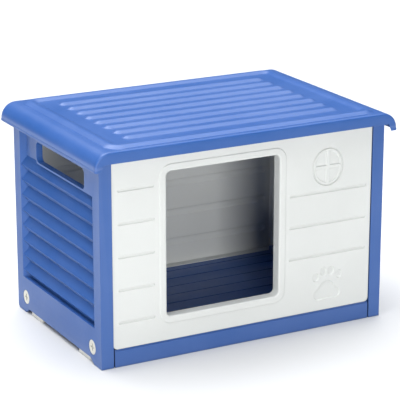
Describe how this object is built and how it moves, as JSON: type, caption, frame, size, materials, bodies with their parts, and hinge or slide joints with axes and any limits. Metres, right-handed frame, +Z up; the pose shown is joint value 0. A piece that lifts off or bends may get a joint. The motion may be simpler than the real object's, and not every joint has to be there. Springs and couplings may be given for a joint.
{
  "type": "plastic pet house",
  "caption": "Small box-shaped plastic pet house with a lift-off ribbed roof, lap-ridged side walls with carry slots, a white front with a doorway, and a grooved floor tray.",
  "frame": {"origin": "middle of the footprint on the ground", "axes": "+Z up, doorway faces -Y, +X to the right seen from the front"},
  "size_m": [0.59, 0.398, 0.39],
  "materials": {
    "blue_plastic": "satin, fine moulding texture",
    "floor_plastic": "satin, fine moulding texture",
    "white_plastic": "satin",
    "bolt_plastic": "satin",
    "pad_plastic": "matt"
  },
  "bodies": {
    "house": {"side_left": "blue_plastic", "side_right": "blue_plastic", "front_panel": "white_plastic", "back_panel": "white_plastic", "floor_tray": "floor_plastic", "bolt_front_left": "bolt_plastic", "bolt_front_right": "bolt_plastic", "bolt_rear_left": "bolt_plastic", "bolt_rear_right": "bolt_plastic", "nut_front_left": "bolt_plastic", "nut_front_right": "bolt_plastic", "nut_rear_left": "bolt_plastic", "nut_rear_right": "bolt_plastic", "foot_pad_front_left": "pad_plastic", "foot_pad_front_right": "pad_plastic", "foot_pad_rear_left": "pad_plastic", "foot_pad_rear_right": "pad_plastic"},
    "lid": {"roof": "blue_plastic"}
  },
  "joints": [
    {"name": "roof_lift", "type": "slide", "parent": "house", "child": "lid", "axis": [0, 0, 1], "range_m": [0, 0.12]}
  ]
}
